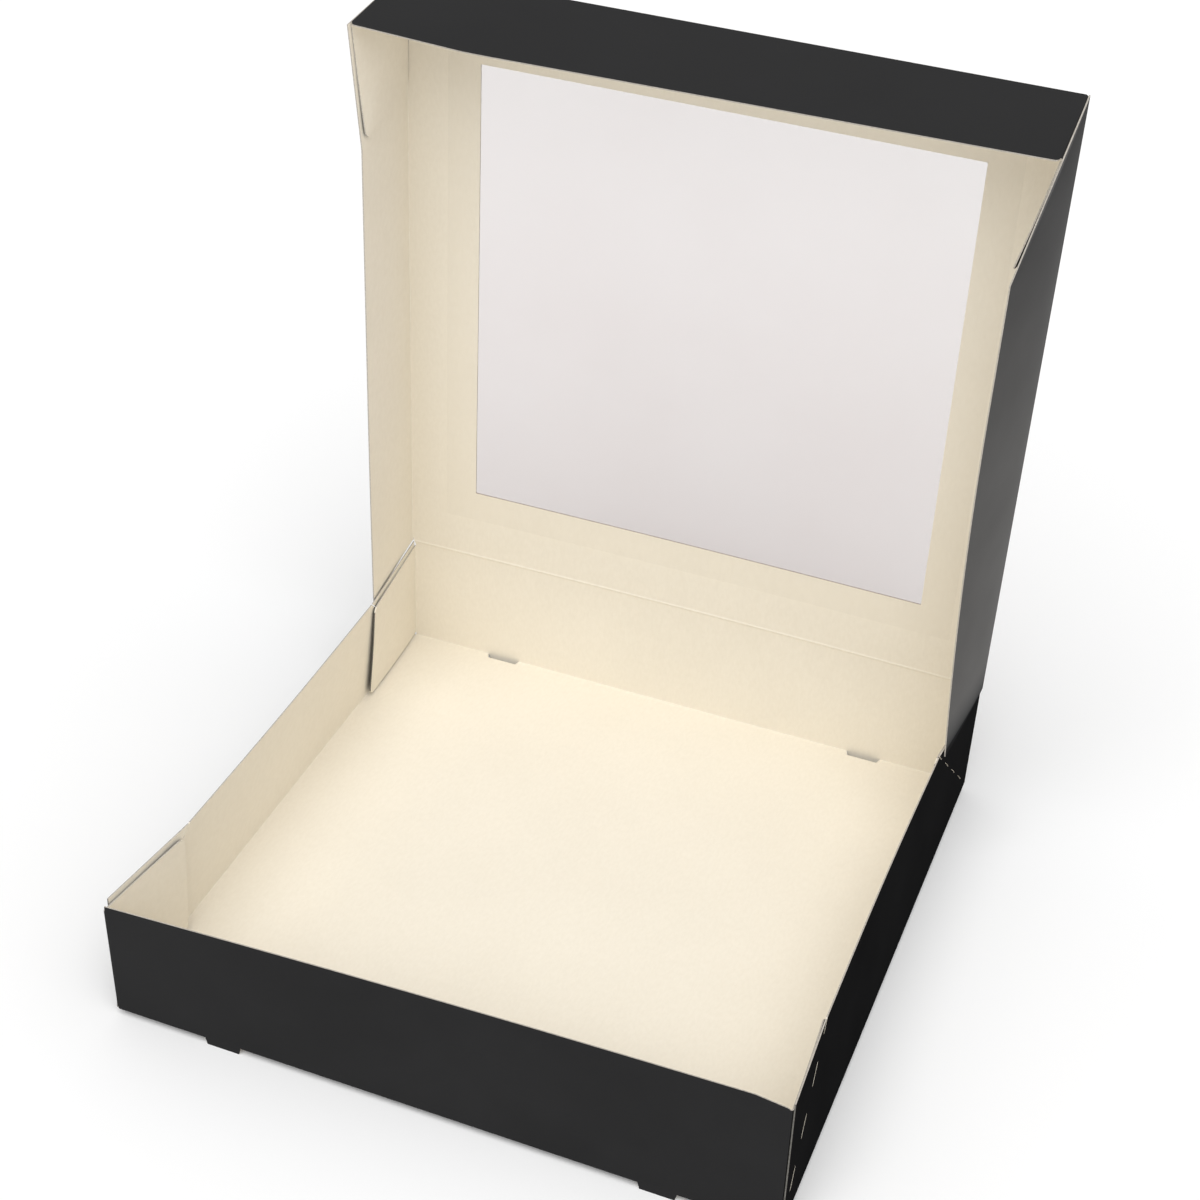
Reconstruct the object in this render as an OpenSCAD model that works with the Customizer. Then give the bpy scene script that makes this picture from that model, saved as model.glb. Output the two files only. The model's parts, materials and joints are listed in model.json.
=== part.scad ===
// Flat cake box with a hinged lid: one folded and glued sheet of card, with a window film glued in its lid.
// X runs along the hinge crease, Y from front to back, Z up. The lid stands open above the back wall.

/* [Card] */
// Thickness of the card
board = 0.6; // [0.4:0.1:0.8]
// Clear space between the closed lid and the outside of the tray
lid_fit = 1; // [0.3:0.1:2]

/* [Tray] */
// Width of the tray along the hinge, outside
tray_w = 300; // [240:5:400]
// Depth of the tray from front to back, outside
tray_d = 300; // [240:5:400]
// Height of the back wall, from the underside of the base to the hinge crease
tray_h = 60; // [45:1:80]
// Angle by which the side walls lean inward
lean = 5; // [1:0.5:8]

/* [Web corners] */
// Run of the slanted web crease along the rim of a side wall
web_run = 60; // [40:1:80]
// Length of each perforation cut along a web crease
perf_len = 10; // [5:1:12]
// Width of each perforation cut
perf_w = 0.5; // [0.3:0.1:1]
// Number of perforation cuts along a web crease
perf_count = 4; // [2:1:5]

/* [Corner flaps] */
// Length of a tray flap, from the corner along the side wall
tray_flap_len = 60; // [40:1:75]
// Length of a lid flap, from the corner along the lid's side wall
lid_flap_len = 60; // [40:1:75]
// Space left between a flap's long edges and the edges of its wall
flap_margin = 1; // [0.5:0.5:4]
// Chamfer on the free corners of a flap
flap_chamfer = 3; // [1:0.5:8]

/* [Feet] */
// Height of the feet that are cut from the base and stand below it
foot_h = 3; // [2:0.5:6]
// Width of a foot at its root
foot_w = 17; // [10:1:25]
// Taper of a foot on each side, from its root to its tip
foot_taper = 1; // [0.5:0.5:2]
// Distance from the middle of the box to the middle of a foot
foot_x = 98; // [60:1:100]

/* [Lid] */
// Depth of the lid's front and side walls, outside
lid_h = 55; // [35:1:58]
// Radius of the free corners of the lid's front wall
front_r = 2; // [1:0.5:6]
// Margin of card between the window and the side edges of the lid
window_side = 37; // [25:1:60]
// Margin of card between the window and the front edge of the lid
window_front = 37; // [25:1:60]
// Margin of card between the window and the hinge crease
window_back = 38; // [25:1:60]
// Radius of the window's corners
window_r = 2; // [1:0.5:8]

/* [Film] */
// Thickness of the window film
film = 0.1; // [0.05:0.05:0.2]
// Width of film that overlaps the card round the window
film_lap = 16; // [5:1:18]

/* [Hinge] */
// Largest angle by which the lid lies back from upright
lid_back = 100; // [0:1:105]
// Clear space that the crease leaves beyond what the fold needs
crease_clear = 0.1; // [0.05:0.05:0.2]
// Clear space between the closed lid's panel and the rim of the tray
rim_clear = 0.3; // [0.2:0.1:1]

/* [Hidden] */
$fn = 48;

card_colour = "#2b2b2d";
film_colour = [0.90, 0.88, 0.90, 0.4];

// Overrun of every cut past the face that it goes through
over = 1;
// Share of the card's thickness by which a glued or folded panel is bedded in the next one
bed_share = 0.5;
bed = board * bed_share;

hinge_y = tray_d / 2 - board / 2;
hinge_z = foot_h + tray_h;
rim_z = hinge_z - board / 2 - rim_clear;
rise = rim_z - foot_h;
crease_gap = board / 2 * tan(lid_back / 2) + crease_clear;

// A side wall is as thick as the card at right angles to its lean, so it is thicker along X
wall_x = board / cos(lean);
// Inward shift of the rim, and the turn of the web triangles that follow from it
rim_in = rise * tan(lean);
web_turn = atan2(rim_in, web_run);
web_len = norm([web_run, rise]);
perf_pitch = web_len / perf_count;

lid_w = tray_w + 2 * (lid_fit + 2 * board);
lid_l = tray_d - board / 2 + lid_fit + board;
window_w = lid_w - 2 * window_side;
window_l = lid_l - window_front - window_back;

// Outline in the plane of a wall (along Y, up Z), made into a plate of the given thickness along X
module plate(thickness, points) {
    rotate([90, 0, 90])
        linear_extrude(thickness)
            polygon(points);
}

// Corner flap's outline: square at its fold, with two chamfered corners at its free end
function flap_points(length, height) = [
    [0, 0],
    [length - flap_chamfer, 0],
    [length, flap_chamfer],
    [length, height - flap_chamfer],
    [length - flap_chamfer, height],
    [0, height]
];

// Foot's outline, pointing away from the crease that it hangs on
function foot_points(length) = [
    [-foot_w / 2, 0],
    [foot_w / 2, 0],
    [foot_w / 2 - foot_taper, length],
    [-foot_w / 2 + foot_taper, length]
];

module at_four_corners() {
    for (side = [0, 1], end = [0, 1])
        mirror([side, 0, 0])
            mirror([0, end, 0])
                children();
}

// Base with the holes that the feet were cut from
module base_panel() {
    difference() {
        translate([-tray_w / 2 + bed, -tray_d / 2, foot_h])
            cube([tray_w - 2 * bed, tray_d, board]);
        at_four_corners()
            translate([foot_x, -tray_d / 2 + board, foot_h - over])
                linear_extrude(board + 2 * over)
                    polygon(foot_points(foot_h));
    }
}

// Front or back wall, standing between the side walls, up to the given height
module end_wall(top_z) {
    translate([-tray_w / 2 + bed, -tray_d / 2, foot_h])
        cube([tray_w - 2 * bed, board, top_z - foot_h]);
}

// Foot that carries on the line of an end wall below the base
module foot() {
    translate([foot_x, -tray_d / 2 + board, foot_h + bed])
        rotate([-90, 0, 180])
            linear_extrude(board)
                polygon(foot_points(foot_h + bed));
}

// Outer face of a side wall: a leaning main panel between two web triangles that turn in from the corners
function side_face(x) = [
    [x, -tray_d / 2, foot_h],
    [x, -tray_d / 2, rim_z],
    [x - rim_in, -tray_d / 2 + web_run, rim_z],
    [x - rim_in, tray_d / 2 - web_run, rim_z],
    [x, tray_d / 2, rim_z],
    [x, tray_d / 2, foot_h]
];

module side_panel() {
    outer = side_face(tray_w / 2);
    inner = side_face(tray_w / 2 - wall_x);
    count = len(outer);
    edges = [for (i = [0 : count - 1]) [i, count + i, count + (i + 1) % count, (i + 1) % count]];
    outer_faces = [[0, 1, 2], [0, 2, 3, 5], [3, 4, 5]];
    inner_faces = [for (face = outer_faces) [for (i = [len(face) - 1 : -1 : 0]) count + face[i]]];
    polyhedron(concat(outer, inner), concat(outer_faces, inner_faces, edges), convexity = 4);
}

// Row of cuts down a web crease, from the rim towards the corner of the base
module perforation() {
    translate([tray_w / 2 - rim_in, -tray_d / 2 + web_run, rim_z])
        rotate([atan2(rise, web_run), 0, 0])
            for (i = [0 : perf_count - 1]) {
                start = i * perf_pitch;
                reach = i == 0 ? over : 0;
                translate([-wall_x - over, -start - perf_len, -perf_w / 2])
                    cube([rim_in + wall_x + 2 * over, perf_len + reach, perf_w]);
            }
}

module side_wall() {
    difference() {
        side_panel();
        for (end = [0, 1])
            mirror([0, end, 0])
                perforation();
    }
}

// Flap on the end of an end wall, turned with the web triangle that it is glued to
module tray_flap() {
    low_z = foot_h + board + flap_margin;
    height = rim_z - flap_margin - low_z;
    translate([tray_w / 2 - wall_x, -tray_d / 2, low_z])
        rotate([0, 0, web_turn])
            translate([-board, bed, 0])
                plate(board + wall_x * bed_share, flap_points(tray_flap_len - bed, height));
}

module tray() {
    color(card_colour) {
        base_panel();
        end_wall(rim_z);
        mirror([0, 1, 0])
            end_wall(hinge_z - crease_gap);
        at_four_corners() {
            tray_flap();
            foot();
        }
        for (side = [0, 1])
            mirror([side, 0, 0])
                side_wall();
    }
}

// Places what is drawn with the hinge axis as its origin and the lid's panel standing on it
module at_hinge() {
    translate([0, hinge_y, hinge_z])
        children();
}

module rounded_rectangle(w, l, r) {
    translate([-w / 2 + r, 0])
        square([w - 2 * r, l]);
    translate([-w / 2, r])
        square([w, l - 2 * r]);
    for (x = [-w / 2 + r, w / 2 - r], y = [r, l - r])
        translate([x, y])
            circle(r);
}

module lid_panel() {
    rotate([90, 0, 0])
        translate([0, 0, -board / 2])
            difference() {
                translate([-lid_w / 2, crease_gap, 0])
                    cube([lid_w, lid_l - crease_gap, board]);
                translate([0, window_back, -over])
                    linear_extrude(board + 2 * over)
                        rounded_rectangle(window_w, window_l, window_r);
            }
}

// Front wall of the lid, with its two free corners rounded
module lid_front() {
    w = lid_w - 2 * bed;
    translate([0, board / 2 - lid_h, lid_l - board])
        linear_extrude(board) {
            rounded_rectangle(w, lid_h, front_r);
            translate([-w / 2, front_r])
                square([w, lid_h - front_r]);
        }
}

module lid_side() {
    translate([lid_w / 2 - board, board / 2 - lid_h, crease_gap])
        cube([board, lid_h, lid_l - crease_gap]);
}

// Flap on the end of the lid's front wall, glued inside the lid's side wall and clear of the rounded corner
module lid_flap() {
    height = lid_h - board - front_r - flap_margin;
    translate([lid_w / 2 - 2 * board, board / 2 - lid_h + front_r, lid_l - bed])
        rotate([-90, 0, 0])
            plate(board + bed, flap_points(lid_flap_len - bed, height));
}

module lid() {
    color(card_colour)
        at_hinge() {
            lid_panel();
            lid_front();
            for (side = [0, 1])
                mirror([side, 0, 0]) {
                    lid_side();
                    lid_flap();
                }
        }
}

module window_film() {
    color(film_colour)
        at_hinge()
            translate([-window_w / 2 - film_lap, -board / 2 - film, window_back - film_lap])
                cube([window_w + 2 * film_lap, film, window_l + 2 * film_lap]);
}

tray();
lid();
window_film();
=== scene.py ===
import json
import math

import bmesh
import bpy
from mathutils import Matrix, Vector


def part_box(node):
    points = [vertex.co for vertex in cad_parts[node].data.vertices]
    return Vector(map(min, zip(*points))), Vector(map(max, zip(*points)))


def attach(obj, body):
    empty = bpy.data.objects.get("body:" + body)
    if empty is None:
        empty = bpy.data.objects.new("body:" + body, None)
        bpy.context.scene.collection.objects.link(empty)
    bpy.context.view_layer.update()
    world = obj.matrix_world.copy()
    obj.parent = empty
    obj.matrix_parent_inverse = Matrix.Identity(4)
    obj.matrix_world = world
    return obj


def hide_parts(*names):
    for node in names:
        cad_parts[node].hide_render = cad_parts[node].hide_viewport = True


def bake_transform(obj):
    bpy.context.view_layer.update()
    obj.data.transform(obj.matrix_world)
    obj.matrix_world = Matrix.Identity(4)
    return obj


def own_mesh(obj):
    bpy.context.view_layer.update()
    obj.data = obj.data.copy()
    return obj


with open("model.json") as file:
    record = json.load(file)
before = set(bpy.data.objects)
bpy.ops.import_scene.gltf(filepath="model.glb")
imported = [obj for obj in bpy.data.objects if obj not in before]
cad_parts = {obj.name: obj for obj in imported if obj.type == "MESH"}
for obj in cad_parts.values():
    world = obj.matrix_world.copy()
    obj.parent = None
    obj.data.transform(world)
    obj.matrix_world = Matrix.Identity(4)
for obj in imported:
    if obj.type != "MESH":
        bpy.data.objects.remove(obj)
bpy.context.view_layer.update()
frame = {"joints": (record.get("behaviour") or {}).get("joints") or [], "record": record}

# Flat cake box with a window: one folded sheet of card, black outside and cream inside, with a film in
# its lid. Lengths are in metres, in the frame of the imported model. Each card piece is made as the middle
# surface of the sheet, which then gets its thickness, with an outside, an inside and a raw edge of its own.

MM = 0.001

# Card and folds
BOARD = 0.6 * MM
HALF = BOARD / 2
FOLD_R = 0.6 * MM
FOLD_STEPS = 4
GLUE_GAP = 0.05 * MM
SUPPORT = 1.2 * MM
CELL = 12 * MM
WELD = 1e-7

# Tray
RIM_DROP = 0.6 * MM
RIM_IN = 5.2 * MM
RIM_BOW = 0.8 * MM
WEB_RUN = 60 * MM
WEB_COLUMNS = 6
FRONT_LEFT_SHIFT = Vector((-1.4, -0.5, 0)) * MM
FRONT_RIGHT_SHIFT = Vector((-3, 10.4, 0)) * MM
FRONT_BOW = 1.3 * MM
HINGE_BOW = 1.8 * MM
CORNER_DIP_RUN = 9 * MM
EDGE_SETBACK = 1.2 * MM
BACK_EDGE_SETBACK = 0.5 * MM
# Raw edges that face front this squarely are drawn darker: painted shade.
SHADED_EDGE_FACING = 0.9
FRONT_RIM_SETBACKS = {-1: 5 * MM, 1: 1 * MM}

# Glued corner flaps
FLAP_LENS = {-1: 54 * MM, 1: 60 * MM}
FLAP_MARGIN = 1 * MM
FLAP_TOP_MARGIN = 2.4 * MM
FLAP_ROUND = 4 * MM
FLAP_ROUND_STEPS = 4
FLAP_SINK = 3 * MM
FLAP_SINK_CURVE = 1.5
FLAP_OPEN = 0.8 * MM
LID_FLAP_LEN = 52.5 * MM
LID_FLAP_OPEN = 1 * MM
LID_FLAP_MARGIN = 0.1 * MM
LID_FLAP_CELL = 4 * MM

# Perforated web creases of the tray
SLIT = 0.9 * MM
CUT_COUNT = 4
CUT_SHARE = 0.118
CUT_START_SHARE = -0.04
SLIT_FADE_SHARE = 0.1
# Raw edges of the cuts that face at least this much along and up are drawn in cream: pale torn fibres,
# lightened further as painted light.
CUT_FACING = 0.5

# Feet, cut from the base at its front and back creases
FOOT_X = 98 * MM
FOOT_W = 17 * MM
FOOT_TAPER = 1 * MM
SLOT_DEPTH = 3.3 * MM

# Hinge crease
CREASE_REACH = 2.7 * MM
CREASE_ROWS = 24
CREASE_RIDGE = 0.3 * MM
CREASE_RIDGE_REACH = 0.5 * MM

# Lid
LID_WEB_RUN = 63 * MM
LID_FLARE = 1.4 * MM
LID_EDGE_SETBACKS = {-1: 1 * MM, 1: 0.7 * MM}
LID_EDGE_DROOP_SHARES = {-1: 0.95, 1: 0.8}
LID_SETBACK_SHARE = 0.1
LID_WALL_GAP = 0.1 * MM
LID_WALL_TAIL = 3.5 * MM
LID_CURL = 1.25
LID_BOW = 1.0 * MM
LID_NARROWING = 1.4 * MM
HINGE_BOW_REACH = 80 * MM
FRONT_DROOPS = {-1: 9.5 * MM, 1: 6.5 * MM}
FRONT_LIFT = 3.4 * MM
FRONT_LIFT_RUN = 55 * MM
FRONT_ROUND = 2 * MM
FRONT_ROUND_STEPS = 5
# Inward lean of each lid wall's free edge: at the web kink, at the hinge, and the run between them
LID_LEANS = {
    -1: (4 * MM, 4.5 * MM, 112 * MM),
    1: (10.6 * MM, 4.4 * MM, 175 * MM),
}

# Window and film
WINDOW_LAP = 16 * MM
WINDOW_R = 0.5 * MM
WINDOW_R_STEPS = 4
FILM = 0.1 * MM
FILM_GAP = 0.05 * MM
FILM_RIPPLE = 0.35 * MM
# Waves of the film's ripple, as (turn along X, turn along Z, start, strength)
FILM_WAVES = ((31, 17, 0, 1), (-23, 47, 1, 0.6))
FILM_CELL = 5 * MM

# Noise of the finishes, as (scale, detail) or (scale, detail, stretch), and the range of it that is used
PRINT_GRAIN = (900, 4)
PRINT_CLOUD = (24, 2)
CREAM_FIBRE = (700, 5, (1, 0.45, 0.45))
CREAM_CLOUD = (18, 3)
EDGE_FIBRE = (1600, 4)
FILM_HAZE = (9, 3)
FILM_SCUFF = (120, 4, (1, 1, 0.2))
FLOOR_CLOUD = (2, 2)
NOISE_RANGE = (0.3, 0.7)

# Black print: each finish as (tone, roughness, specular level), and what the finishes share
PRINT = (0.018, 0.68, 0.08)
# The tray's side walls get a darker, matte copy of the print: painted shade.
TRAY_SIDE_SHADE_PRINT = (0.010, 0.85, 0)
# The lid's side walls get a glossier copy of the print: painted sheen.
LID_SIDE_SHEEN_PRINT = (0.018, 0.60, 0.15)
PRINT_TINT = (1, 0.995, 1.025)
PRINT_TONE_SHARES = (0.89, 1.11)
PRINT_ROUGHNESS_SPREAD = 0.04
PRINT_BUMP = 0.03 * MM
# Painted sheen of the lid's side walls, as (share of the way from hinge to front, specular level)
LID_SHEEN = ((0, 0), (0.06, 0.7), (0.5, 0.5), (1, 0.08))
# Warm tint of that painted sheen
LID_SHEEN_TINT = (1, 0.94, 0.86, 1)

# Cream inside and raw edges
CREAM_TONES = ((0.85, 0.795, 0.685), (0.87, 0.815, 0.705))
CREAM_FIBRE_TONES = ((0.965, 0.96, 0.95), (1, 1, 1))
CREAM_ROUGHNESS = (0.72, 0.85)
CREAM_GLOSS = 0.25
CREAM_BUMP = 0.05 * MM
EDGE_TONES = ((0.36, 0.33, 0.29), (0.60, 0.56, 0.50))
# Darker tones for raw edges that face front: painted shade.
SHADED_EDGE_TONES = ((0.10, 0.095, 0.085), (0.22, 0.21, 0.19))
EDGE_ROUGHNESS = 0.9
EDGE_GLOSS = 0.2
EDGE_BUMP = 0.08 * MM

# Film: tone and opacity of the pane and of the glued lap, and how haze and scuffs vary them
PANE = ((0.36, 0.21, 0.18), 0.16)
LAP = ((0.80, 0.74, 0.62), 0.02)
HAZE_TONE_SHARE = 0.95
HAZE_ALPHA_SHARES = (0.92, 1.08)
FILM_ROUGHNESS = (0.06, 0.16)
FILM_IOR = 1.5

# Camera, as fitted to the photograph
CAMERA_PLACE = (0.2686, -0.7310, 0.7165)
CAMERA_TURN_DEG = (54.73, -2.42, 21.38)
CAMERA_LENS_MM = 68.0
SENSOR_MM = 36.0

# Light and floor
KEY_FROM = Vector((0.05, -0.7, 1.2))
KEY_STRENGTH = 1.85
KEY_ANGLE_DEG = 60
FILL_FROM = Vector((1, -0.35, 0.9))
FILL_STRENGTH = 0.42
FILL_ANGLE_DEG = 90
SKY_LIGHT = 0.5
FLOOR_HALF = 12.0
FLOOR_TONES = ((0.95, 0.95, 0.95), (0.96, 0.96, 0.96))
FLOOR_ROUGHNESS = 0.9
FLOOR_GLOSS = 0.1

# Places of the materials in a card piece
BLACK = 0
CREAM = 1
EDGE = 2
# Darker print of the tray's side walls: painted shade
SHADED_SIDE = 3
# Darker raw edges that face front: painted shade
SHADED_EDGE = 4

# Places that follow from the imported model
tray_low, tray_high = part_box("tray")
lid_low, lid_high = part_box("lid")
film_low, film_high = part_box("window_film")
hinge_y, hinge_z = frame["joints"][0]["pos_m"][1:]
base_z = frame["record"]["mounts"][0]["pos_m"][2] + HALF

side_x = tray_high.x - HALF
end_y = tray_high.y - HALF
wall_z = base_z + FOLD_R
rim_z = hinge_z - RIM_DROP
crease_low = hinge_z - CREASE_REACH
crease_high = hinge_z + CREASE_REACH
base_x = side_x - FOLD_R
base_y = end_y - FOLD_R
flap_inset = BOARD + GLUE_GAP
wall_end = side_x - flap_inset - FOLD_R
flap_top = rim_z - FLAP_TOP_MARGIN

lid_x = lid_high.x - HALF
lid_top = lid_high.z - HALF
lid_free_y = lid_low.y
lid_crease_y = hinge_y - FOLD_R
lid_end = lid_x - flap_inset - FOLD_R
lid_kink_z = lid_high.z - LID_WEB_RUN
window_x = film_high.x - WINDOW_LAP
window_low = film_low.z + WINDOW_LAP
window_high = film_high.z - WINDOW_LAP


def mix(a, b, share):
    return a + (b - a) * share


def ease(share):
    """Smooth step from 0 to 1, level at both ends."""
    share = min(max(share, 0), 1)
    return share * share * (3 - 2 * share)


def grid_lines(stops, step):
    """The stops in order, with even lines between them that are no further apart than step."""
    stops = sorted(stops)
    lines = [stops[0]]
    for low, high in zip(stops, stops[1:]):
        count = max(1, round((high - low) / step))
        lines += [mix(low, high, (i + 1) / count) for i in range(count)]
    return lines


def arc_angles(steps):
    return [math.pi / 2 * i / steps for i in range(steps + 1)]


class Sheet:
    """Middle surface of a piece of card: points shared where panels meet, and faces that look outward."""

    def __init__(self):
        self.points = []
        self.places = {}
        self.faces = []

    def point(self, place):
        key = tuple(round(c / WELD) for c in place)
        if key not in self.places:
            self.places[key] = len(self.points)
            self.points.append(Vector(place))
        return self.places[key]

    def face(self, places, outward):
        corners = list(dict.fromkeys(self.point(place) for place in places))
        if len(corners) < 3:
            return
        a, b, c = (self.points[i] for i in (corners[0], corners[1], corners[-1]))
        if (b - a).cross(c - a).dot(outward) < 0:
            corners.reverse()
        self.faces.append(corners)

    def grid(self, rows, outward, keep=None):
        """Quads between rows of points. keep gets the middle of a cell and says if it stays."""
        outward = Vector(outward)
        for first, second in zip(rows, rows[1:]):
            for i in range(len(first) - 1):
                corners = [Vector(p) for p in (first[i], first[i + 1], second[i + 1], second[i])]
                if keep is None or keep(sum(corners, Vector()) / len(corners)):
                    self.face(corners, outward)

    def normals(self):
        bm = bmesh.new()
        vertices = [bm.verts.new(p) for p in self.points]
        for face in self.faces:
            bm.faces.new([vertices[i] for i in face])
        bm.normal_update()
        found = [v.normal.copy() for v in vertices]
        bm.free()
        return found

    def open_edges(self):
        """Edges that belong to one face only, in the direction in which that face runs."""
        runs = {}
        for face in self.faces:
            for a, b in zip(face, face[1:] + face[:1]):
                runs.setdefault(frozenset((a, b)), []).append((a, b))
        return [found[0] for found in runs.values() if len(found) == 1]

    def solid(self, name, thickness, materials):
        """The piece with its thickness: outer and inner skin, and a raw edge all round."""
        bm = bmesh.new()
        normals = self.normals()
        outer = [bm.verts.new(p + n * thickness / 2) for p, n in zip(self.points, normals)]
        inner = [bm.verts.new(p - n * thickness / 2) for p, n in zip(self.points, normals)]
        for face in self.faces:
            for skin, corners, index in ((outer, face, BLACK), (inner, face[::-1], CREAM)):
                made = bm.faces.new([skin[i] for i in corners])
                made.material_index = index
                made.smooth = True
        for a, b in self.open_edges():
            made = bm.faces.new((outer[a], inner[a], inner[b], outer[b]))
            made.material_index = EDGE
            for edge in made.edges:
                edge.smooth = False
        mesh = bpy.data.meshes.new(name)
        bm.to_mesh(mesh)
        bm.free()
        for material in materials:
            mesh.materials.append(material)
        piece = bpy.data.objects.new(name, mesh)
        bpy.context.scene.collection.objects.link(piece)
        return piece


# Tray


def in_foot(x):
    return abs(abs(x) - FOOT_X) < FOOT_W / 2


def foot_edge_x(x, depth_share):
    """Moves the two edge lines of a foot or slot together towards its tip."""
    edge = abs(x) - FOOT_X
    if abs(abs(edge) - FOOT_W / 2) > WELD:
        return x
    return math.copysign(FOOT_X + math.copysign(FOOT_W / 2 - FOOT_TAPER * depth_share, edge), x)


def tray_columns():
    stops = [0]
    for x in (base_x, wall_end, wall_end - SUPPORT, FOOT_X + FOOT_W / 2, FOOT_X - FOOT_W / 2):
        stops += [-x, x]
    return grid_lines(stops, CELL)


def base_rows():
    stops = [0]
    for y in (base_y, base_y - SUPPORT, end_y - SLOT_DEPTH, end_y - SLOT_DEPTH - SUPPORT):
        stops += [-y, y]
    return grid_lines(stops, CELL)


def base_point(x, y):
    slot_share = (abs(y) - base_y) / (end_y - SLOT_DEPTH - base_y)
    if 0 <= slot_share <= 1 + WELD:
        x = foot_edge_x(x, slot_share)
    return x, y, base_z


def in_slot(place):
    return in_foot(place.x) and abs(place.y) > end_y - SLOT_DEPTH


def front_shift(x):
    """Shift of the front wall's rim: it leans out a little at the left and well in at the right."""
    share = (x + side_x) / (2 * side_x)
    bow = Vector((0, FRONT_BOW * math.sin(math.pi * share), 0))
    return FRONT_LEFT_SHIFT.lerp(FRONT_RIGHT_SHIFT, share) + bow


def hinge_bow(x):
    """Backward bow of the hinge crease, which the open lid pulls out of line between its two ends."""
    return HINGE_BOW * math.cos(math.pi / 2 * min(1, abs(x) / side_x))


def wall_point(x, z, end):
    """Point of the front wall (end -1) or the back wall (end 1)."""
    place = Vector((x, end * end_y, z))
    rise = max(0, (z - wall_z) / (rim_z - wall_z))
    if end < 0:
        return place + front_shift(x) * rise
    place.y += hinge_bow(x) * ease((z - wall_z) / (crease_low - wall_z))
    return place


def dipped(x, z):
    """Height z of the front wall, lowered where its rim rounds down to the flap at its right end."""
    near_end = max(0, 1 - (wall_end - x) / CORNER_DIP_RUN)
    return z - max(0, z - flap_top) * near_end ** 2


def add_base(card):
    rows = [[base_point(x, y) for x in tray_columns()] for y in base_rows()]
    card.grid(rows, (0, 0, -1), lambda place: not in_slot(place))


def wall_heights(end):
    top = rim_z if end < 0 else crease_low
    flap_low = wall_z + FLAP_MARGIN
    return grid_lines([wall_z, flap_low, flap_low + SUPPORT, flap_top, top], CELL)


def add_end_wall(card, end):
    columns = [x for x in tray_columns() if abs(x) < wall_end + WELD]
    fold = []
    for angle in arc_angles(FOLD_STEPS):
        y = end * (base_y + FOLD_R * math.sin(angle))
        z = wall_z - FOLD_R * math.cos(angle)
        fold.append([(x, y, z) for x in columns])
    card.grid(fold, (0, end, -1), lambda place: not in_foot(place.x))
    rows = []
    for z in wall_heights(end):
        rows.append([wall_point(x, dipped(x, z) if end < 0 else z, end) for x in columns])
    card.grid(rows, (0, end, 0))
    add_feet(card, columns, end)


def add_feet(card, columns, end):
    heights = grid_lines([wall_z, tray_low.z], SUPPORT)
    for side in (-1, 1):
        edge = FOOT_W / 2 + WELD
        mine = [x for x in columns if abs(x - side * FOOT_X) < edge]
        rows = []
        for z in heights:
            share = (wall_z - z) / (wall_z - tray_low.z)
            rows.append([wall_point(foot_edge_x(x, share), z, end) for x in mine])
        card.grid(rows, (0, end, 0))


def side_corner(side, end, z):
    """Point of a side wall's raw upright edge at the front or back corner of the tray."""
    rise = (z - wall_z) / (rim_z - wall_z)
    if end > 0:
        return Vector((side * side_x, tray_high.y - BACK_EDGE_SETBACK, z))
    setback = mix(EDGE_SETBACK, FRONT_RIM_SETBACKS[side], rise)
    return Vector((side * side_x, setback - tray_high.y, z)) + front_shift(side * side_x) * rise


def web_kink(side, end):
    return Vector((side * (side_x - RIM_IN), end * (tray_high.y - WEB_RUN), rim_z))


def web_crease(side, end, share):
    """Point of the slanted web crease, from the rim (0) to the corner of the base (1)."""
    return web_kink(side, end).lerp(Vector((side * side_x, end * base_y, wall_z)), share)


def cut_shares():
    starts = [i / CUT_COUNT + CUT_START_SHARE for i in range(CUT_COUNT)]
    return [(max(0, start), start + CUT_SHARE) for start in starts]


def slit_step(end, share):
    """Step along Y from the web crease to the side of its cuts, on the side of the main panel."""
    return Vector((0, -end * SLIT / 2 * min(1, (1 - share) / SLIT_FADE_SHARE), 0))


def main_side_point(side, share, y):
    """Point of a side wall between its two web creases, in the column that starts at y on the base."""
    front = web_crease(side, -1, share) + slit_step(-1, share)
    back = web_crease(side, 1, share) + slit_step(1, share)
    along = (y + base_y) / (2 * base_y)
    bow = Vector((-side * RIM_BOW * math.sin(math.pi * along) * (1 - share), 0, 0))
    return front.lerp(back, along) + bow


def web_rows(side, end, shares):
    rows = []
    for share in shares:
        start = web_crease(side, end, share) - slit_step(end, share)
        edge = side_corner(side, end, rim_z).lerp(side_corner(side, end, wall_z), share)
        rows.append([start.lerp(edge, i / WEB_COLUMNS) for i in range(WEB_COLUMNS + 1)])
    return rows


def add_side_wall(card, side):
    outward = (side, 0, 0)
    stops = {0, 1, 1 - SLIT_FADE_SHARE}
    for cut in cut_shares():
        stops.update(cut)
    shares = grid_lines(stops, CELL / WEB_RUN)
    fold = []
    for angle in arc_angles(FOLD_STEPS):
        x = side * (base_x + FOLD_R * math.sin(angle))
        z = wall_z - FOLD_R * math.cos(angle)
        fold.append([(x, y, z) for y in base_rows()])
    card.grid(fold, (side, 0, -1))
    card.grid([[main_side_point(side, share, y) for y in base_rows()] for share in shares], outward)
    for end in (-1, 1):
        card.grid(web_rows(side, end, shares), outward)
        add_web_bridges(card, side, end, shares)


def add_web_bridges(card, side, end, shares):
    """The card that is left between the cuts of a web crease."""
    for first, second in zip(shares, shares[1:]):
        middle = (first + second) / 2
        if any(low < middle < high for low, high in cut_shares()):
            continue
        rows = []
        for share in (first, second):
            crease = web_crease(side, end, share)
            step = slit_step(end, share)
            rows.append([crease - step, crease + step])
        card.grid(rows, (side, 0, 0))


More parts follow.
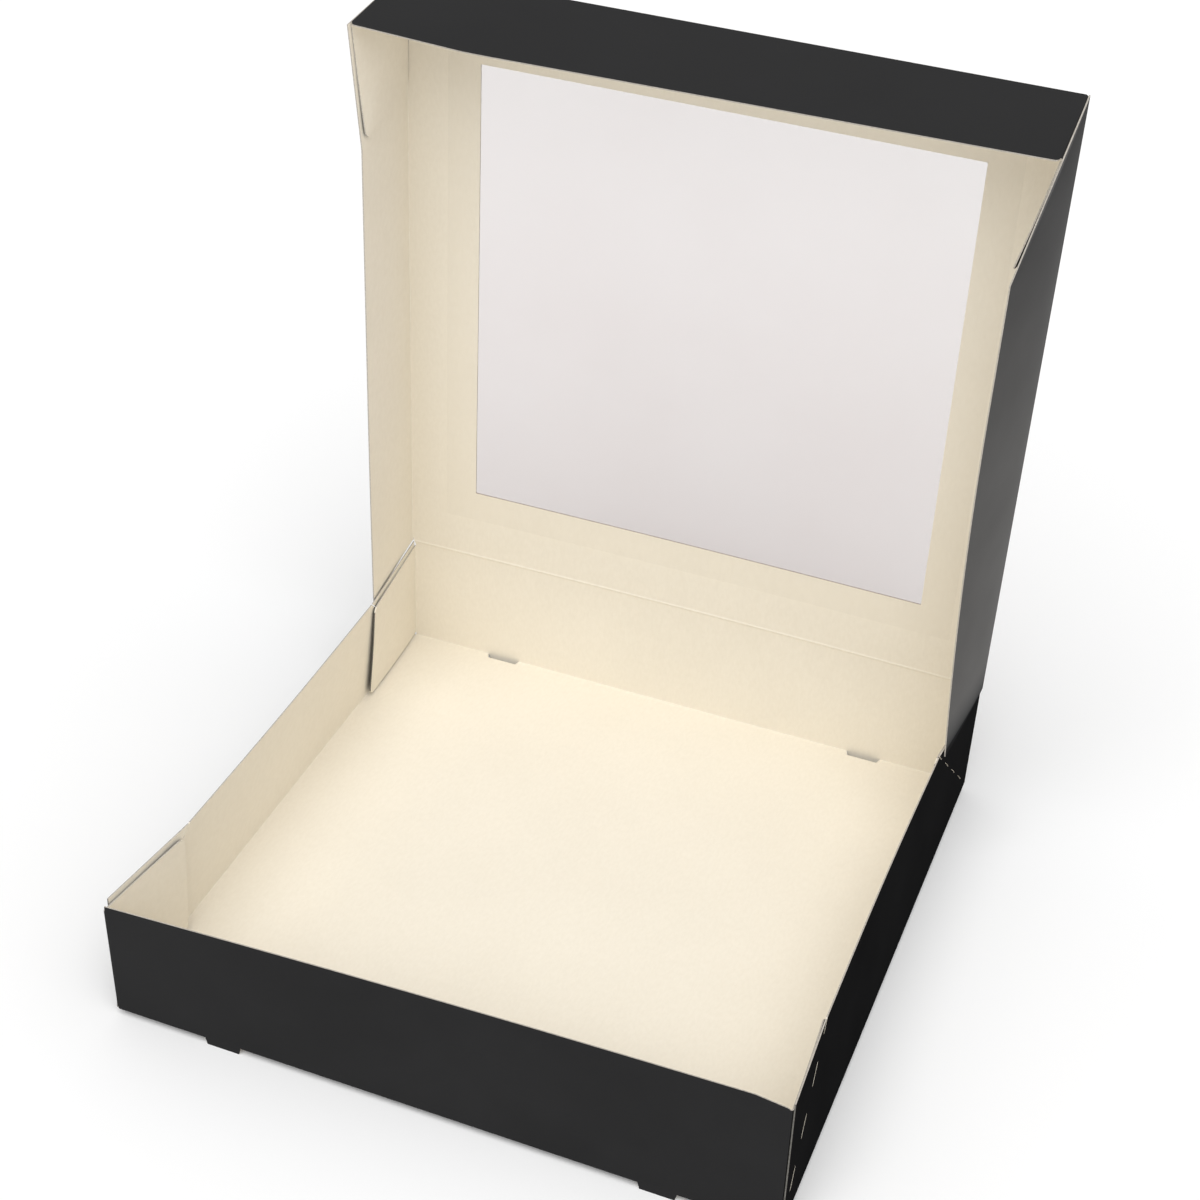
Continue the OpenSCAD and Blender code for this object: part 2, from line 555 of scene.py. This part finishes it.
def flap_columns(length, step):
    """Places along a flap, with the share by which its rounded free end has narrowed there."""
    columns = [(u, 0) for u in grid_lines([0, SUPPORT, length - FLAP_ROUND], step)]
    for angle in arc_angles(FLAP_ROUND_STEPS)[1:]:
        columns.append((length - FLAP_ROUND + FLAP_ROUND * math.sin(angle), 1 - math.cos(angle)))
    return columns


def narrowed(value, low, high, share):
    """value between low and high, moved to the middle as the rounded end of a flap asks."""
    reach = (high - low) / 2
    middle = low + reach
    return middle + (value - middle) * (1 - share * FLAP_ROUND / reach)


def flap_sink(along_share, z):
    """How far a tray flap sinks to the leaning wall below the web crease, less how far its top opens."""
    rise = (z - wall_z) / (rim_z - wall_z)
    return FLAP_SINK * max(0, along_share - rise) ** FLAP_SINK_CURVE - FLAP_OPEN * rise * along_share ** 2


def add_tray_flap(card, side, end):
    heights = [z for z in wall_heights(end) if wall_z < z < flap_top + WELD]
    along = (web_kink(side, end) - side_corner(side, end, rim_z)).normalized()
    across = Vector((side, 0, 0))
    fold = []
    for angle in arc_angles(FOLD_STEPS):
        step = across * FOLD_R * math.sin(angle) + along * FOLD_R * (1 - math.cos(angle))
        fold.append([wall_point(side * wall_end, z, end) + step for z in heights])
    card.grid(fold, (side, end, 0))
    length = FLAP_LENS[end] - FOLD_R
    rows = []
    for u, share in flap_columns(length, CELL):
        row = []
        for z in heights:
            z = narrowed(z, heights[0], heights[-1], share)
            step = across * (FOLD_R + flap_sink(u / length, z)) + along * (FOLD_R + u)
            row.append(wall_point(side * wall_end, z, end) + step)
        rows.append(row)
    card.grid(rows, across)


def tray_finish(face):
    """Material of a tray face: a darker print on the side walls as painted shade, cream for the cuts' edges
    as pale torn fibres with painted light, and darker raw edges that face front as painted shade.
    """
    across, along, up = (abs(c) for c in face.normal)
    # Outside of the side walls: darker print, painted shade
    if face.material_index == BLACK and across > along + up:
        return SHADED_SIDE
    # Edges of the cuts: cream, pale torn fibres and painted light
    if face.material_index == EDGE and min(along, up) > CUT_FACING:
        return CREAM
    # Raw edges that face front: darker, painted shade
    if face.material_index == EDGE and face.normal.y < -SHADED_EDGE_FACING:
        return SHADED_EDGE
    return face.material_index


def make_tray(materials):
    card = Sheet()
    add_base(card)
    for end in (-1, 1):
        add_end_wall(card, end)
        for side in (-1, 1):
            add_tray_flap(card, side, end)
    for side in (-1, 1):
        add_side_wall(card, side)
    piece = card.solid("tray_card", BOARD, materials)
    for face in piece.data.polygons:
        face.material_index = tray_finish(face)
    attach(piece, "tray")
    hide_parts("tray")
    return piece


# Lid


def lid_bow(x, z):
    """Backward bow of the lid's panel: the hinge crease's own, and a slight one between its other edges."""
    along = (z - crease_high) / (lid_top - crease_high)
    across = (x + lid_x) / (2 * lid_x)
    bow = LID_BOW * math.sin(math.pi * min(max(along, 0), 1)) * math.sin(math.pi * across)
    return bow + hinge_bow(x) * ease(1 - (z - crease_high) / HINGE_BOW_REACH)


def lid_narrowing(z):
    """How far the lid's side creases come in towards the hinge, where it is about as wide as the tray."""
    return LID_NARROWING * (lid_high.z - z) / (lid_high.z - hinge_z)


def narrowed_x(x, z):
    """x on the lid's panel, moved in with the side creases in the margin beside the window."""
    beyond = max(0, (abs(x) - window_x) / (lid_x - window_x))
    return x - math.copysign(lid_narrowing(z) * beyond, x)


def panel_point(x, z):
    return narrowed_x(x, z), hinge_y + lid_bow(x, z), z


def in_window(place):
    return abs(place.x) < window_x and window_low < place.z < window_high


def add_window_corners(card):
    """Fills the rounded corners of the window, each a fan from the square corner to an arc."""
    for side in (-1, 1):
        for corner_z, up in ((window_low, 1), (window_high, -1)):
            square = panel_point(side * window_x, corner_z)
            arc = []
            for angle in arc_angles(WINDOW_R_STEPS):
                x = side * (window_x - WINDOW_R * (1 - math.sin(angle)))
                z = corner_z + up * WINDOW_R * (1 - math.cos(angle))
                arc.append(panel_point(x, z))
            for a, b in zip(arc, arc[1:]):
                card.face((square, a, b), Vector((0, 1, 0)))


def lid_rows():
    stops = [crease_high, crease_high + SUPPORT, lid_top - FOLD_R - SUPPORT, lid_top - FOLD_R]
    stops += [window_low, window_low + WINDOW_R, window_high - WINDOW_R, window_high]
    return grid_lines(stops, CELL)


def lid_columns():
    stops = [0]
    for x in (lid_x - FOLD_R, lid_x - FOLD_R - SUPPORT, lid_end, window_x, window_x - WINDOW_R):
        stops += [-x, x]
    return grid_lines(stops, CELL)


def add_panel_side_fold(card, side):
    """Fold from the lid's panel to a side wall, which runs on down to the hinge."""
    heights = [hinge_z + LID_WALL_GAP, *lid_rows()]
    fold = []
    for angle in arc_angles(FOLD_STEPS):
        x = side * (lid_x - FOLD_R + FOLD_R * math.sin(angle))
        y = lid_crease_y + FOLD_R * math.cos(angle)
        fold.append([(narrowed_x(x, z), y, z) for z in heights])
    card.grid(fold, (side, 1, 0))


def add_panel_front_fold(card):
    fold = []
    for angle in arc_angles(FOLD_STEPS):
        y = lid_crease_y + FOLD_R * math.cos(angle)
        z = lid_top - FOLD_R + FOLD_R * math.sin(angle)
        columns = [x for x in lid_columns() if abs(x) < lid_end + WELD]
        fold.append([(narrowed_x(x, lid_top - FOLD_R), y, z) for x in columns])
    card.grid(fold, (0, 1, 1))


def make_lid_panel(materials):
    card = Sheet()
    rows = [[panel_point(x, z) for x in lid_columns()] for z in lid_rows()]
    card.grid(rows, (0, 1, 0), lambda place: not in_window(place))
    add_window_corners(card)
    for side in (-1, 1):
        add_panel_side_fold(card, side)
    add_panel_front_fold(card)
    piece = card.solid("lid_panel_card", BOARD, materials)
    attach(piece, "lid")
    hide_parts("lid")
    return piece


def front_droop(x):
    """Droop of the lid front's free edge, which the glued flap holds up a little at its left end."""
    near_left = max(0, 1 - (x + lid_x) / FRONT_LIFT_RUN)
    return mix(FRONT_DROOPS[-1], FRONT_DROOPS[1], (x + lid_x) / (2 * lid_x)) - FRONT_LIFT * near_left


def front_point(x, y):
    """Point of the lid's front wall, which droops towards its free edge."""
    reach = (lid_crease_y - y) / (lid_crease_y - lid_free_y)
    return x * (1 + LID_FLARE * reach / lid_x), y, lid_top - front_droop(x) * reach


def in_front_corner(place):
    return abs(place.x) > lid_end - FRONT_ROUND and place.y < lid_free_y + FRONT_ROUND


def front_depths():
    round_y = lid_free_y + FRONT_ROUND
    stops = [lid_free_y, round_y, lid_crease_y - LID_FLAP_MARGIN, lid_crease_y]
    return grid_lines(stops, CELL)


def flap_depths():
    """Places along Y where a lid flap hangs on the front wall, clear of its rounded corner."""
    return [y for y in front_depths() if y > lid_free_y + FRONT_ROUND - WELD and y < lid_crease_y - WELD]


def add_front_corner(card, side):
    """Rounded free corner of the lid's front wall, as a fan."""
    inner = front_point(side * (lid_end - FRONT_ROUND), lid_free_y + FRONT_ROUND)
    arc = []
    for angle in arc_angles(FRONT_ROUND_STEPS):
        x = side * (lid_end - FRONT_ROUND + FRONT_ROUND * math.cos(angle))
        y = lid_free_y + FRONT_ROUND - FRONT_ROUND * math.sin(angle)
        arc.append(front_point(x, y))
    for a, b in zip(arc, arc[1:]):
        card.face((inner, a, b), Vector((0, 0, 1)))


def add_front_flap_fold(card, side):
    """Fold from the lid's front wall to its glued flap."""
    fold = []
    for angle in arc_angles(FOLD_STEPS):
        across = side * FOLD_R * math.sin(angle)
        down = Vector((0, 0, -FOLD_R * (1 - math.cos(angle))))
        fold.append([Vector(front_point(side * lid_end + across, y)) + down for y in flap_depths()])
    card.grid(fold, (side, 0, 1))


def make_lid_front(materials):
    card = Sheet()
    stops = [0]
    for x in (lid_end, lid_end - FRONT_ROUND):
        stops += [-x, x]
    columns = grid_lines(stops, CELL)
    rows = [[front_point(x, y) for x in columns] for y in front_depths()]
    card.grid(rows, (0, 0, 1), lambda place: not in_front_corner(place))
    for side in (-1, 1):
        add_front_corner(card, side)
        add_front_flap_fold(card, side)
    piece = card.solid("lid_front_card", BOARD, materials)
    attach(piece, "lid")
    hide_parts("lid")
    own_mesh(piece)
    return piece


def lid_lean(side, z):
    kink_lean, hinge_lean, run = LID_LEANS[side]
    near_hinge = max(0, 1 - (z - hinge_z) / run)
    return mix(kink_lean, hinge_lean, near_hinge ** 2)


def lid_wall_point(side, depth_share, z):
    """Point of a lid's side wall behind its web crease, which leans in towards its free edge."""
    x = side * (lid_x - lid_narrowing(z) - lid_lean(side, z) * depth_share ** LID_CURL)
    return Vector((x, mix(lid_crease_y, lid_free_y, depth_share), z))


def lid_web_crease(side, depth_share):
    return lid_wall_point(side, depth_share, mix(lid_high.z, lid_kink_z, depth_share))


def lid_front_edge(side, depth_share):
    """Point of a lid wall's raw edge at the front corner, which droops nearly as far as the front wall."""
    y = mix(lid_crease_y, lid_free_y, depth_share)
    setback = LID_EDGE_SETBACKS[side] * min(1, depth_share / LID_SETBACK_SHARE)
    drop = LID_EDGE_DROOP_SHARES[side] * front_droop(side * lid_x) * depth_share + setback
    return Vector((side * (lid_x + LID_FLARE * depth_share), y, lid_high.z - drop))


def lid_side_x(side, depth_share, z):
    """x of a lid's side wall, on its web triangle or behind the web crease."""
    crease = lid_web_crease(side, depth_share)
    if z <= crease.z:
        return lid_wall_point(side, depth_share, z).x
    edge = lid_front_edge(side, depth_share)
    return mix(crease.x, edge.x, (z - crease.z) / (edge.z - crease.z))


def add_lid_flap(card, side):
    """Flap of the front wall, glued inside the side wall's web."""
    along = (lid_web_crease(side, 1) - lid_front_edge(side, 1)).normalized()
    depths = grid_lines(flap_depths(), LID_FLAP_CELL)
    length = LID_FLAP_LEN - FOLD_R
    rows = []
    for u, share in flap_columns(length, LID_FLAP_CELL):
        row = []
        for y in depths:
            y = narrowed(y, depths[0], depths[-1], share)
            depth = (lid_crease_y - y) / (lid_crease_y - lid_free_y)
            z = front_point(side * lid_end, y)[2] - FOLD_R + along.z * u
            stand = flap_inset + LID_FLAP_OPEN * (u / length * depth) ** 2
            row.append((lid_side_x(side, depth, z) - side * stand, y, z))
        rows.append(row)
    card.grid(rows, (side, 0, 0))


def make_lid_wall(name, side, materials):
    """Side wall of the lid with its glued flap."""
    card = Sheet()
    outward = (side, 0, 0)
    depth_shares = grid_lines([0, SUPPORT / LID_WEB_RUN, 1], CELL / LID_WEB_RUN / 2)
    along_shares = grid_lines([0, SUPPORT / lid_high.z, 1], CELL / lid_high.z)
    main = []
    web = []
    for depth in depth_shares:
        crease = lid_web_crease(side, depth)
        edge = lid_front_edge(side, depth)
        low_z = hinge_z + LID_WALL_GAP - LID_WALL_TAIL * depth
        main.append([lid_wall_point(side, depth, mix(crease.z, low_z, share)) for share in along_shares])
        web.append([crease.lerp(edge, i / WEB_COLUMNS) for i in range(WEB_COLUMNS + 1)])
    card.grid(main, outward)
    card.grid(web, outward)
    add_lid_flap(card, side)
    piece = card.solid(name, BOARD, materials)
    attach(piece, "lid")
    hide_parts("lid")
    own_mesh(piece)
    return piece


def make_crease(materials):
    """Strip of the sheet between back wall and lid."""
    card = Sheet()
    columns = [x for x in tray_columns() if abs(x) < wall_end + WELD]
    rows = []
    for z in grid_lines([crease_low, crease_high], 2 * CREASE_REACH / CREASE_ROWS):
        share = (z - crease_low) / (crease_high - crease_low)
        lid_half = narrowed_x(lid_x - FOLD_R, crease_high)
        widen = mix(1, lid_half / wall_end, ease(share))
        ridge = CREASE_RIDGE * math.exp(-((z - hinge_z) / CREASE_RIDGE_REACH) ** 2)
        rows.append([(x * widen, hinge_y + hinge_bow(x) - ridge, z) for x in columns])
    card.grid(rows, (0, 1, 0))
    piece = card.solid("hinge_crease_card", BOARD, materials)
    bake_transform(piece)
    return piece


# Film


def film_point(x, z):
    """Point of the film, flat where it is glued and with faint ripples in the window."""
    across = max(0, 1 - (x / window_x) ** 2)
    middle = (window_low + window_high) / 2
    along = max(0, 1 - ((z - middle) / (window_high - middle)) ** 2)
    wave = 0
    for turn_x, turn_z, start, size in FILM_WAVES:
        wave += size * math.sin(turn_x * x + turn_z * z + start)
    ripple = FILM_RIPPLE * wave * across * along
    return x, hinge_y - HALF - FILM_GAP - FILM / 2 + lid_bow(x, z) + ripple, z


def make_film(pane, lap):
    sheet = Sheet()
    columns = grid_lines([film_low.x, -window_x, window_x, film_high.x], FILM_CELL)
    heights = grid_lines([film_low.z, window_low, window_high, film_high.z], FILM_CELL)
    sheet.grid([[film_point(x, z) for x in columns] for z in heights], (0, 1, 0))
    piece = sheet.solid("window_film_sheet", FILM, (pane, lap))
    for face in piece.data.polygons:
        face.material_index = 0 if in_window(face.center) else 1
    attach(piece, "lid")
    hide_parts("window_film")
    return piece


# Materials


class Nodes:
    """A material with a Principled shader, and short ways to feed it textures of the piece's own space."""

    def __init__(self, name):
        self.material = bpy.data.materials.new(name)
        self.material.use_nodes = True
        self.tree = self.material.node_tree
        self.shader = self.tree.nodes["Principled BSDF"]
        self.space = self.tree.nodes.new("ShaderNodeTexCoord").outputs["Object"]

    def set(self, **values):
        for name, value in values.items():
            self.shader.inputs[name.replace("_", " ")].default_value = value

    def noise(self, scale, detail, stretch=(1, 1, 1)):
        mapping = self.tree.nodes.new("ShaderNodeMapping")
        mapping.inputs["Scale"].default_value = stretch
        texture = self.tree.nodes.new("ShaderNodeTexNoise")
        texture.inputs["Scale"].default_value = scale
        texture.inputs["Detail"].default_value = detail
        self.tree.links.new(self.space, mapping.inputs["Vector"])
        self.tree.links.new(mapping.outputs["Vector"], texture.inputs["Vector"])
        return texture.outputs["Fac"]

    def ramp(self, factor, low, high):
        node = self.tree.nodes.new("ShaderNodeValToRGB")
        for stop, place, colour in zip(node.color_ramp.elements, NOISE_RANGE, (low, high)):
            stop.position = place
            stop.color = (*colour, 1)
        self.tree.links.new(factor, node.inputs["Fac"])
        return node.outputs["Color"]

    def spread(self, factor, low, high):
        node = self.tree.nodes.new("ShaderNodeMapRange")
        node.inputs["From Min"].default_value = NOISE_RANGE[0]
        node.inputs["From Max"].default_value = NOISE_RANGE[1]
        node.inputs["To Min"].default_value = low
        node.inputs["To Max"].default_value = high
        self.tree.links.new(factor, node.inputs["Value"])
        return node.outputs["Result"]

    def height_ramp(self, low, high, stops):
        """Level that follows the height in the piece's own space, through stops of (share, level)."""
        split = self.tree.nodes.new("ShaderNodeSeparateXYZ")
        self.tree.links.new(self.space, split.inputs["Vector"])
        share = self.tree.nodes.new("ShaderNodeMapRange")
        share.inputs["From Min"].default_value = low
        share.inputs["From Max"].default_value = high
        self.tree.links.new(split.outputs["Z"], share.inputs["Value"])
        node = self.tree.nodes.new("ShaderNodeValToRGB")
        elements = node.color_ramp.elements
        for place, _ in stops[1:-1]:
            elements.new(place)
        for element, (place, level) in zip(elements, stops):
            element.position = place
            element.color = (level, level, level, 1)
        self.tree.links.new(share.outputs["Result"], node.inputs["Fac"])
        return node.outputs["Color"]

    def multiply(self, a, b):
        node = self.tree.nodes.new("ShaderNodeMix")
        node.data_type = "RGBA"
        node.blend_type = "MULTIPLY"
        node.inputs["Factor"].default_value = 1
        self.tree.links.new(a, node.inputs["A"])
        self.tree.links.new(b, node.inputs["B"])
        return node.outputs["Result"]

    def bump(self, height, distance):
        node = self.tree.nodes.new("ShaderNodeBump")
        node.inputs["Distance"].default_value = distance
        self.tree.links.new(height, node.inputs["Height"])
        self.feed("Normal", node.outputs["Normal"])

    def feed(self, socket, output):
        self.tree.links.new(output, self.shader.inputs[socket])


def black_card(name, tone, roughness, gloss):
    """Black print on the outside of the board, with the faint unevenness of the sheet under it."""
    nodes = Nodes(name)
    grain = nodes.noise(*PRINT_GRAIN)
    cloud = nodes.noise(*PRINT_CLOUD)
    low, high = ([share * tone * c for c in PRINT_TINT] for share in PRINT_TONE_SHARES)
    nodes.feed("Base Color", nodes.ramp(cloud, low, high))
    smooth, rough = roughness - PRINT_ROUGHNESS_SPREAD, roughness + PRINT_ROUGHNESS_SPREAD
    nodes.feed("Roughness", nodes.spread(cloud, smooth, rough))
    nodes.bump(grain, PRINT_BUMP)
    nodes.set(Specular_IOR_Level=gloss)
    return nodes


def lid_side_sheen_card():
    """Black print of the lid's side walls, glossier than the rest, with a painted sheen that follows the
    height and fades at the hinge and towards the front.
    """
    nodes = black_card("black_card_lid_side", *LID_SIDE_SHEEN_PRINT)
    nodes.feed("Specular IOR Level", nodes.height_ramp(hinge_z, lid_high.z, LID_SHEEN))
    nodes.set(Specular_Tint=LID_SHEEN_TINT)
    return nodes.material


def cream_card():
    """Uncoated cream inside of the board, with soft clouds and short fibres."""
    nodes = Nodes("cream_card")
    fibre = nodes.noise(*CREAM_FIBRE)
    cloud = nodes.noise(*CREAM_CLOUD)
    tone = nodes.ramp(cloud, *CREAM_TONES)
    nodes.feed("Base Color", nodes.multiply(tone, nodes.ramp(fibre, *CREAM_FIBRE_TONES)))
    nodes.feed("Roughness", nodes.spread(fibre, *CREAM_ROUGHNESS))
    nodes.bump(fibre, CREAM_BUMP)
    nodes.set(Specular_IOR_Level=CREAM_GLOSS)
    return nodes.material


def raw_edge(name, low, high):
    """Cut edge of the board, fibrous, in the given tones, which are darker for the painted shade of edges
    that face front.
    """
    nodes = Nodes(name)
    fibre = nodes.noise(*EDGE_FIBRE)
    nodes.feed("Base Color", nodes.ramp(fibre, low, high))
    nodes.bump(fibre, EDGE_BUMP)
    nodes.set(Roughness=EDGE_ROUGHNESS, Specular_IOR_Level=EDGE_GLOSS)
    return nodes.material


def clear_film(name, tone, alpha):
    """Clear packaging film with a faint haze that varies over the sheet."""
    nodes = Nodes(name)
    haze = nodes.noise(*FILM_HAZE)
    scuff = nodes.noise(*FILM_SCUFF)
    nodes.feed("Base Color", nodes.ramp(haze, [HAZE_TONE_SHARE * c for c in tone], tone))
    nodes.feed("Alpha", nodes.spread(haze, *(share * alpha for share in HAZE_ALPHA_SHARES)))
    nodes.feed("Roughness", nodes.spread(scuff, *FILM_ROUGHNESS))
    nodes.set(IOR=FILM_IOR)
    return nodes.material


def floor_finish():
    nodes = Nodes("studio_floor")
    cloud = nodes.noise(*FLOOR_CLOUD)
    nodes.feed("Base Color", nodes.ramp(cloud, *FLOOR_TONES))
    nodes.set(Roughness=FLOOR_ROUGHNESS, Specular_IOR_Level=FLOOR_GLOSS)
    return nodes.material


# Studio


def make_floor():
    mesh = bpy.data.meshes.new("studio_floor")
    corners = [(-1, -1), (1, -1), (1, 1), (-1, 1)]
    mesh.from_pydata([(x * FLOOR_HALF, y * FLOOR_HALF, 0) for x, y in corners], [], [range(len(corners))])
    mesh.materials.append(floor_finish())
    floor = bpy.data.objects.new("studio_floor", mesh)
    bpy.context.scene.collection.objects.link(floor)


def make_sun(name, from_direction, strength, angle_deg):
    data = bpy.data.lights.new(name, "SUN")
    data.energy = strength
    data.angle = math.radians(angle_deg)
    lamp = bpy.data.objects.new(name, data)
    lamp.rotation_euler = (-from_direction).to_track_quat("-Z", "Y").to_euler()
    bpy.context.scene.collection.objects.link(lamp)


def make_sky():
    """Even studio surround, white where it is seen or mirrored and softer as a light."""
    world = bpy.data.worlds.new("studio")
    bpy.context.scene.world = world
    world.use_nodes = True
    tree = world.node_tree
    rays = tree.nodes.new("ShaderNodeLightPath").outputs
    seen = rays["Is Camera Ray"]
    for name in ("Is Glossy Ray", "Is Transmission Ray"):
        either = tree.nodes.new("ShaderNodeMath")
        either.operation = "MAXIMUM"
        tree.links.new(seen, either.inputs[0])
        tree.links.new(rays[name], either.inputs[1])
        seen = either.outputs["Value"]
    level = tree.nodes.new("ShaderNodeMapRange")
    level.inputs["To Min"].default_value = SKY_LIGHT
    level.inputs["To Max"].default_value = 1
    tree.links.new(seen, level.inputs["Value"])
    background = tree.nodes["Background"]
    background.inputs["Color"].default_value = (1, 1, 1, 1)
    tree.links.new(level.outputs["Result"], background.inputs["Strength"])


def make_camera():
    data = bpy.data.cameras.new("camera")
    data.lens = CAMERA_LENS_MM
    data.sensor_width = SENSOR_MM
    camera = bpy.data.objects.new("camera", data)
    camera.location = CAMERA_PLACE
    camera.rotation_euler = [math.radians(angle) for angle in CAMERA_TURN_DEG]
    bpy.context.scene.collection.objects.link(camera)
    bpy.context.scene.camera = camera


def main():
    inside = cream_card()
    edge = raw_edge("raw_edge", *EDGE_TONES)
    # Darker raw edge for faces turned to the front: painted shade
    shaded_edge = raw_edge("raw_edge_worn", *SHADED_EDGE_TONES)
    card = (black_card("black_card", *PRINT).material, inside, edge)
    # Darker, matte print of the tray's side walls: painted shade
    shaded_tray_side = black_card("black_card_tray_side", *TRAY_SIDE_SHADE_PRINT).material
    # Glossier print of the lid's side walls with a painted sheen
    lid_sheen_side = (lid_side_sheen_card(), inside, edge)
    pieces = [
        make_tray((*card, shaded_tray_side, shaded_edge)),
        make_lid_panel(card),
        make_lid_front(card),
        make_lid_wall("lid_left_card", -1, lid_sheen_side),
        make_lid_wall("lid_right_card", 1, lid_sheen_side),
        make_crease(card),
    ]
    pane = clear_film("window_film_pane", *PANE)
    lap = clear_film("window_film_lap", *LAP)
    make_film(pane, lap)
    make_floor()
    make_sun("key", KEY_FROM, KEY_STRENGTH, KEY_ANGLE_DEG)
    make_sun("fill", FILL_FROM, FILL_STRENGTH, FILL_ANGLE_DEG)
    make_sky()
    make_camera()
    bpy.context.scene.view_settings.view_transform = "Standard"


main()
